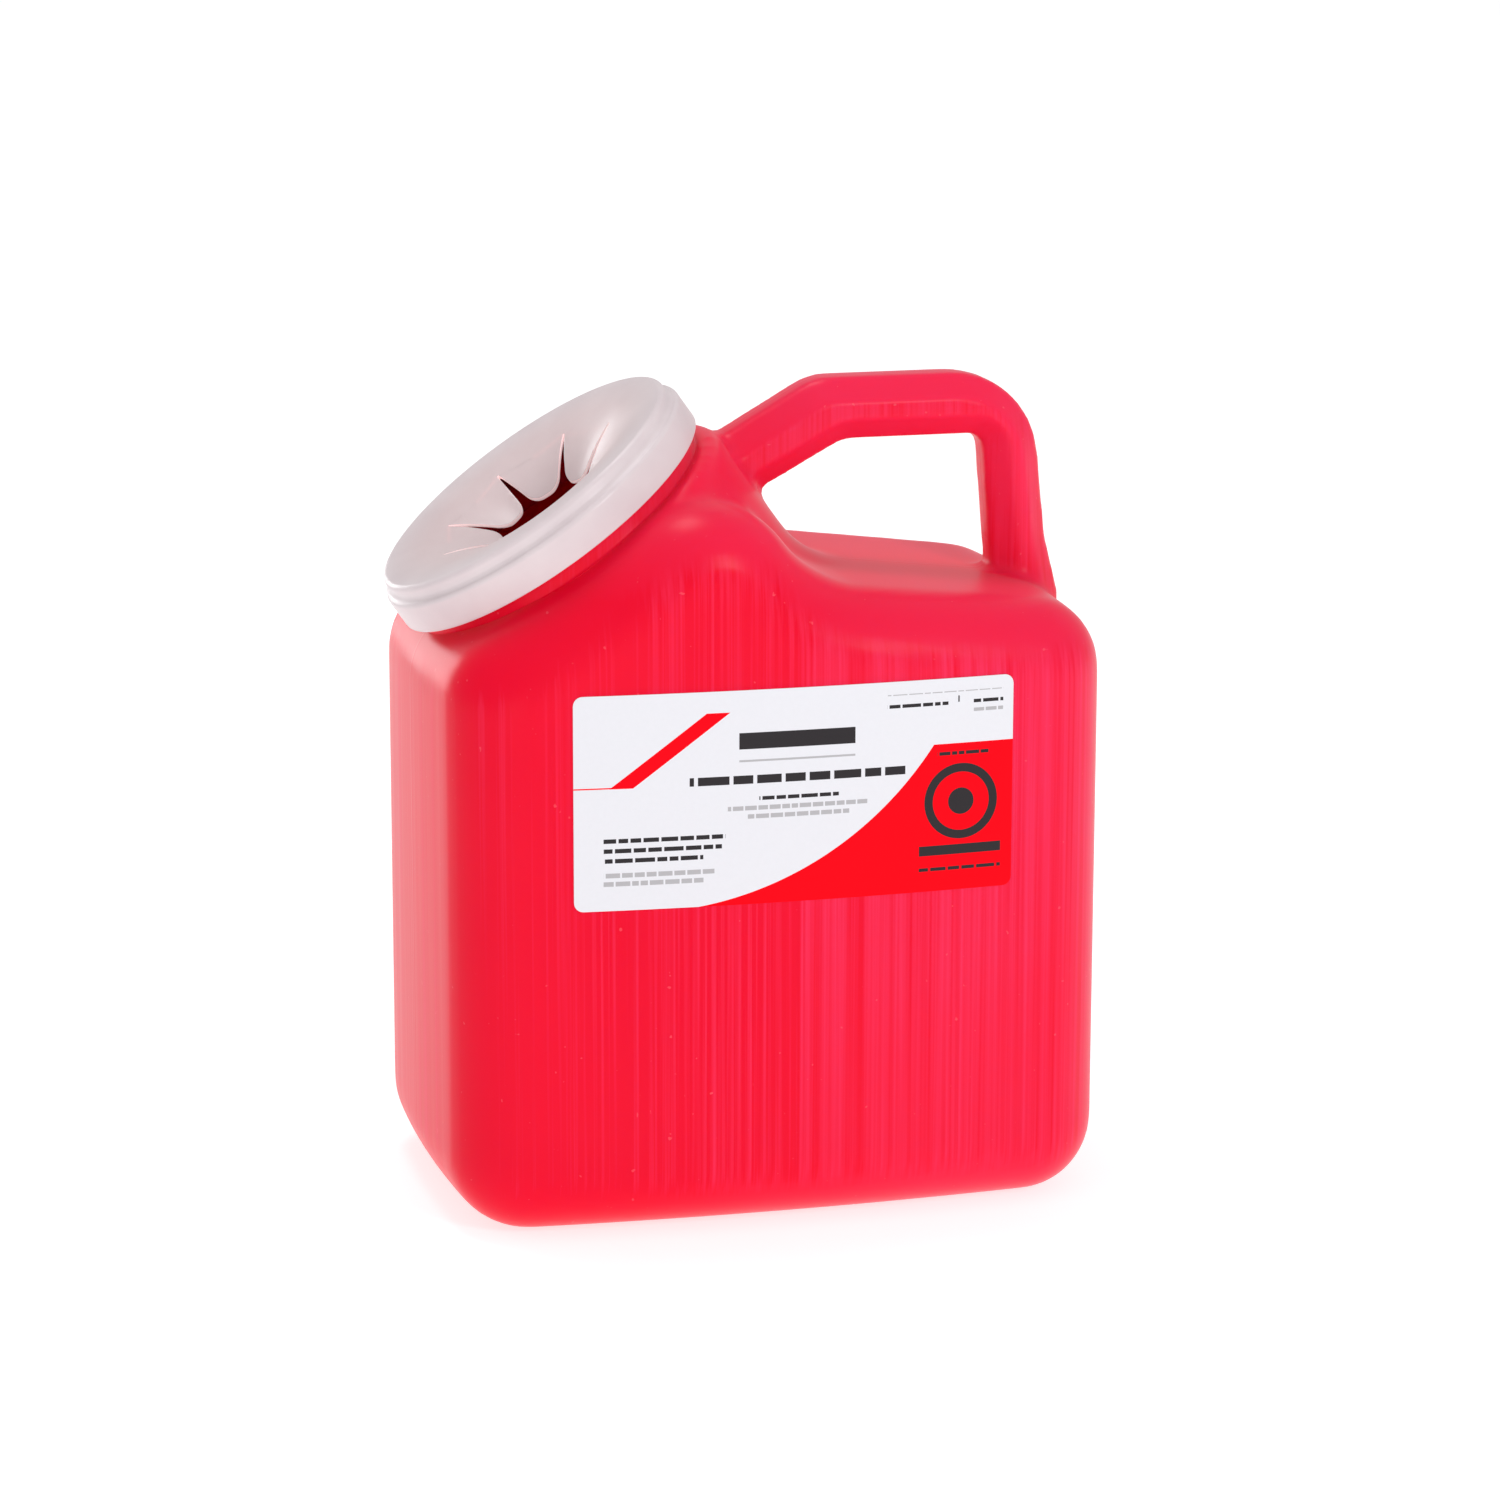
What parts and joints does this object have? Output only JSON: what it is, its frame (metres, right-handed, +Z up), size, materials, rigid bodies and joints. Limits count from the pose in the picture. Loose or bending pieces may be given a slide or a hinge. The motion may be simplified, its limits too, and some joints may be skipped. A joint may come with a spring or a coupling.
{
  "type": "sharps container",
  "caption": "Blow-moulded waste jug with a moulded-in handle, a slanted round neck, and a press-on funnel lid whose flexible petals let sharps drop in but not fall out.",
  "frame": {"origin": "centre of the base's flat underside, on the surface the jug stands on", "axes": "+X along the wide face towards the handle's upright, +Y to the back, away from the label, +Z up"},
  "size_m": [0.24, 0.1588, 0.2823],
  "materials": {
    "jug_plastic": "semi-gloss red high-density polyethylene with fine vertical die lines",
    "lid_plastic": "satin translucent white polyethylene",
    "label_film": "satin printed film"
  },
  "bodies": {
    "jug": {"jug": "jug_plastic", "front_label": "label_film"},
    "lid": {"lid_collar": "lid_plastic"},
    "petal_1": {"petal_1": "lid_plastic"},
    "petal_2": {"petal_2": "lid_plastic"},
    "petal_3": {"petal_3": "lid_plastic"},
    "petal_4": {"petal_4": "lid_plastic"},
    "petal_5": {"petal_5": "lid_plastic"},
    "petal_6": {"petal_6": "lid_plastic"},
    "petal_7": {"petal_7": "lid_plastic"},
    "petal_8": {"petal_8": "lid_plastic"}
  },
  "joints": [
    {"name": "lid_lift", "type": "slide", "parent": "jug", "child": "lid", "axis": [-0.5793, 0, 0.8151], "range_m": [0, 0.06]},
    {"name": "petal_1_flex", "type": "hinge", "parent": "lid", "child": "petal_1", "pos_m": [-0.05008, 0.01541, 0.26317], "axis": [0.3726, -0.8894, 0.2648], "range_deg": [-20, 55], "stiffness_Nm_per_rad": 0.02},
    {"name": "petal_2_flex", "type": "hinge", "parent": "lid", "child": "petal_2", "pos_m": [-0.06613, 0.03211, 0.25177], "axis": [0.7761, -0.3057, 0.5516], "range_deg": [-20, 55], "stiffness_Nm_per_rad": 0.02},
    {"name": "petal_3_flex", "type": "hinge", "parent": "lid", "child": "petal_3", "pos_m": [-0.0871, 0.02999, 0.23687], "axis": [0.725, 0.4571, 0.5152], "range_deg": [-20, 55], "stiffness_Nm_per_rad": 0.02},
    {"name": "petal_4_flex", "type": "hinge", "parent": "lid", "child": "petal_4", "pos_m": [-0.1007, 0.01031, 0.2272], "axis": [0.2492, 0.9521, 0.1771], "range_deg": [-20, 55], "stiffness_Nm_per_rad": 0.02},
    {"name": "petal_5_flex", "type": "hinge", "parent": "lid", "child": "petal_5", "pos_m": [-0.09898, -0.01541, 0.22842], "axis": [-0.3726, 0.8894, -0.2648], "range_deg": [-20, 55], "stiffness_Nm_per_rad": 0.02},
    {"name": "petal_6_flex", "type": "hinge", "parent": "lid", "child": "petal_6", "pos_m": [-0.08293, -0.03211, 0.23983], "axis": [-0.7761, 0.3057, -0.5516], "range_deg": [-20, 55], "stiffness_Nm_per_rad": 0.02},
    {"name": "petal_7_flex", "type": "hinge", "parent": "lid", "child": "petal_7", "pos_m": [-0.06197, -0.02999, 0.25473], "axis": [-0.725, -0.4571, -0.5152], "range_deg": [-20, 55], "stiffness_Nm_per_rad": 0.02},
    {"name": "petal_8_flex", "type": "hinge", "parent": "lid", "child": "petal_8", "pos_m": [-0.04836, -0.01031, 0.2644], "axis": [-0.2492, -0.9521, -0.1771], "range_deg": [-20, 55], "stiffness_Nm_per_rad": 0.02}
  ]
}
